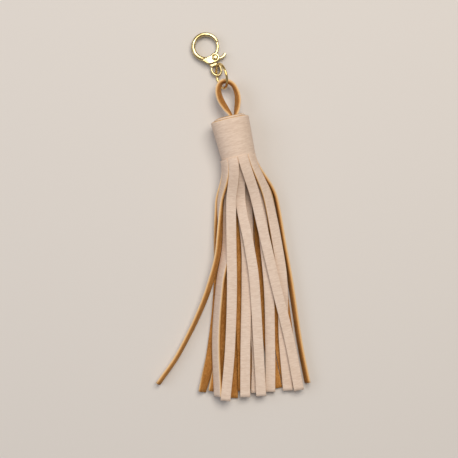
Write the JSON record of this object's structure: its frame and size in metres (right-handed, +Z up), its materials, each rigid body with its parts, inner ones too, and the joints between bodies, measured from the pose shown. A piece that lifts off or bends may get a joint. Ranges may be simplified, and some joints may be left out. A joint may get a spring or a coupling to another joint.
{
  "type": "fringe tassel with lobster clasp",
  "caption": "Rolled fringe tassel of imitation leather on a strap loop, with a jump ring and a sprung lobster clasp, lying flat.",
  "frame": {"origin": "middle of the bottom of the part as it lies", "axes": "+Y from the fringe's tips towards the clasp, +Z up off the surface"},
  "size_m": [0.045, 0.1056, 0.0117],
  "materials": {
    "fringe": "cream grain outside, ochre suede back",
    "strap": "cream grain outside, ochre suede back",
    "ring_gilt": "polished gilt",
    "clasp_gilt": "pale polished gilt"
  },
  "bodies": {
    "tassel": {"tassel": "fringe", "hanging_loop": "strap", "jump_ring": "ring_gilt", "clasp_body": "clasp_gilt", "clasp_rivet": "clasp_gilt"},
    "lever": {"clasp_lever": "clasp_gilt"}
  },
  "joints": [
    {"name": "lever_hinge", "type": "hinge", "parent": "tassel", "child": "lever", "pos_m": [-0.00539, 0.04542, 0.0014], "axis": [0, 0, 1], "range_deg": [0, 25], "stiffness_Nm_per_rad": 0.01}
  ]
}
